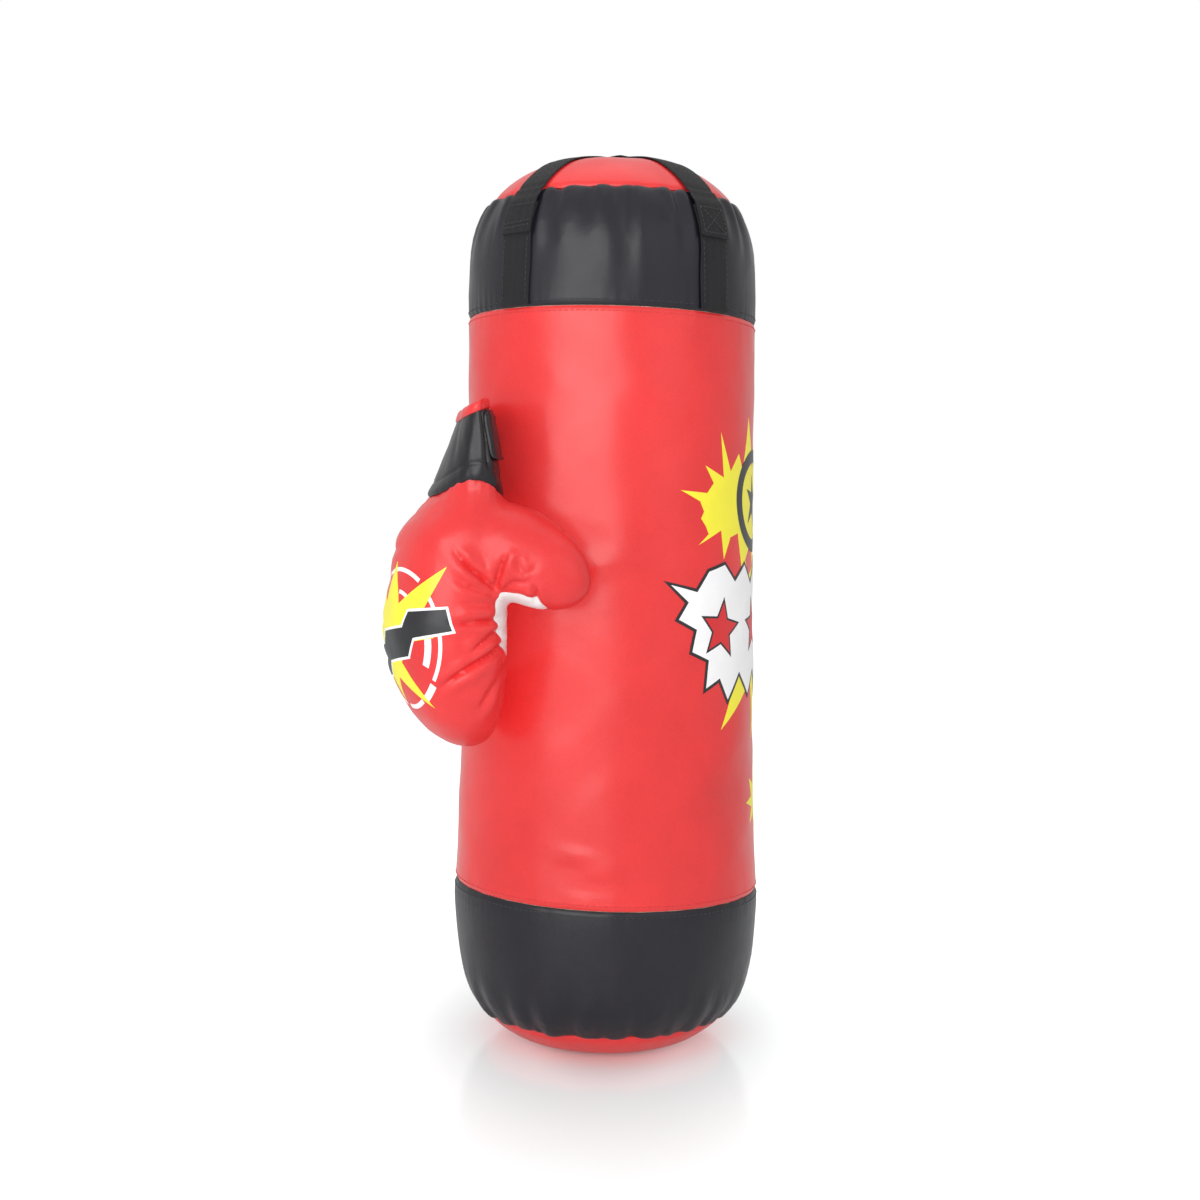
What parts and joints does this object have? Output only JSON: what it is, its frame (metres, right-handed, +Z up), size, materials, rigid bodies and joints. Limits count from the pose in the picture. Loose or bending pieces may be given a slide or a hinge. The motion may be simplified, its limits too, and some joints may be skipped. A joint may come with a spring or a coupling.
{
  "type": "stuffed punching bag with boxing glove",
  "caption": "Child's stuffed leatherette punching bag that stands on its flat end, with a webbing harness, hanging ring, filling zip and a boxing glove with a cuff flap.",
  "frame": {"origin": "centre of the flat face the bag stands on", "axes": "+Z up along the bag's axis, -Y towards the front with the glove at the front left, +X towards the printed side"},
  "size_m": [0.2258, 0.2248, 0.5498],
  "materials": {
    "red_leatherette": "satin embossed leatherette",
    "black_leatherette": "satin embossed leatherette",
    "white_leatherette": "satin embossed leatherette",
    "black_webbing": "woven webbing",
    "foam": "open-cell foam",
    "textile_filling": "shredded textile",
    "lining_cloth": "knitted lining",
    "tape_cloth": "woven tape",
    "steel": "nickel plated",
    "nylon": "nylon coil"
  },
  "bodies": {
    "bag": {"main_panel": "red_leatherette", "upper_band": "black_leatherette", "lower_band": "black_leatherette", "top_disc": "red_leatherette", "bottom_disc": "red_leatherette", "foam_liner": "foam", "textile_filling": "textile_filling", "anchor_strap_front_left": "black_webbing", "anchor_strap_front_right": "black_webbing", "anchor_strap_back_left": "black_webbing", "anchor_strap_back_right": "black_webbing", "harness_strap_lower": "black_webbing", "harness_strap_upper": "black_webbing", "ring_tab": "black_webbing", "zip_tape_inner": "tape_cloth", "zip_tape_outer": "tape_cloth", "zip_coil_inner": "nylon", "zip_coil_outer": "nylon", "zip_stop_left": "steel", "zip_stop_right": "steel"},
    "ring": {"hanging_ring": "steel"},
    "slider": {"zip_slider": "steel"},
    "pull_tab": {"zip_pull_tab": "steel"},
    "glove": {"glove_outer_shell": "red_leatherette", "glove_palm_panel": "white_leatherette", "glove_fist_padding": "foam", "glove_thumb_padding": "foam", "glove_lining": "lining_cloth", "glove_cuff": "black_leatherette", "glove_cuff_binding": "red_leatherette", "glove_loop_tape": "tape_cloth"},
    "cuff_flap": {"glove_cuff_flap": "black_leatherette", "glove_hook_tape": "tape_cloth"}
  },
  "joints": [
    {"name": "ring_flip", "type": "hinge", "parent": "bag", "child": "ring", "pos_m": [0, 0.0225, 0.5468], "axis": [1, 0, 0], "range_deg": [0, 150]},
    {"name": "zip_slide", "type": "hinge", "parent": "bag", "child": "slider", "pos_m": [0, 0, 0.5268], "axis": [0, 0, 1], "range_deg": [0, 36]},
    {"name": "pull_tab_flip", "type": "hinge", "parent": "slider", "child": "pull_tab", "pos_m": [0.02448, 0.06059, 0.52854], "axis": [0.2962, 0.7331, -0.6122], "range_deg": [0, 140]},
    {"name": "glove_lift_off", "type": "slide", "parent": "bag", "child": "glove", "axis": [-0.7441, -0.6681, 0], "range_m": [0, 0.12]},
    {"name": "cuff_flap_open", "type": "hinge", "parent": "glove", "child": "cuff_flap", "pos_m": [-0.06831, -0.11227, 0.36565], "axis": [0.1586, -0.0334, -0.9868], "range_deg": [0, 100]}
  ]
}
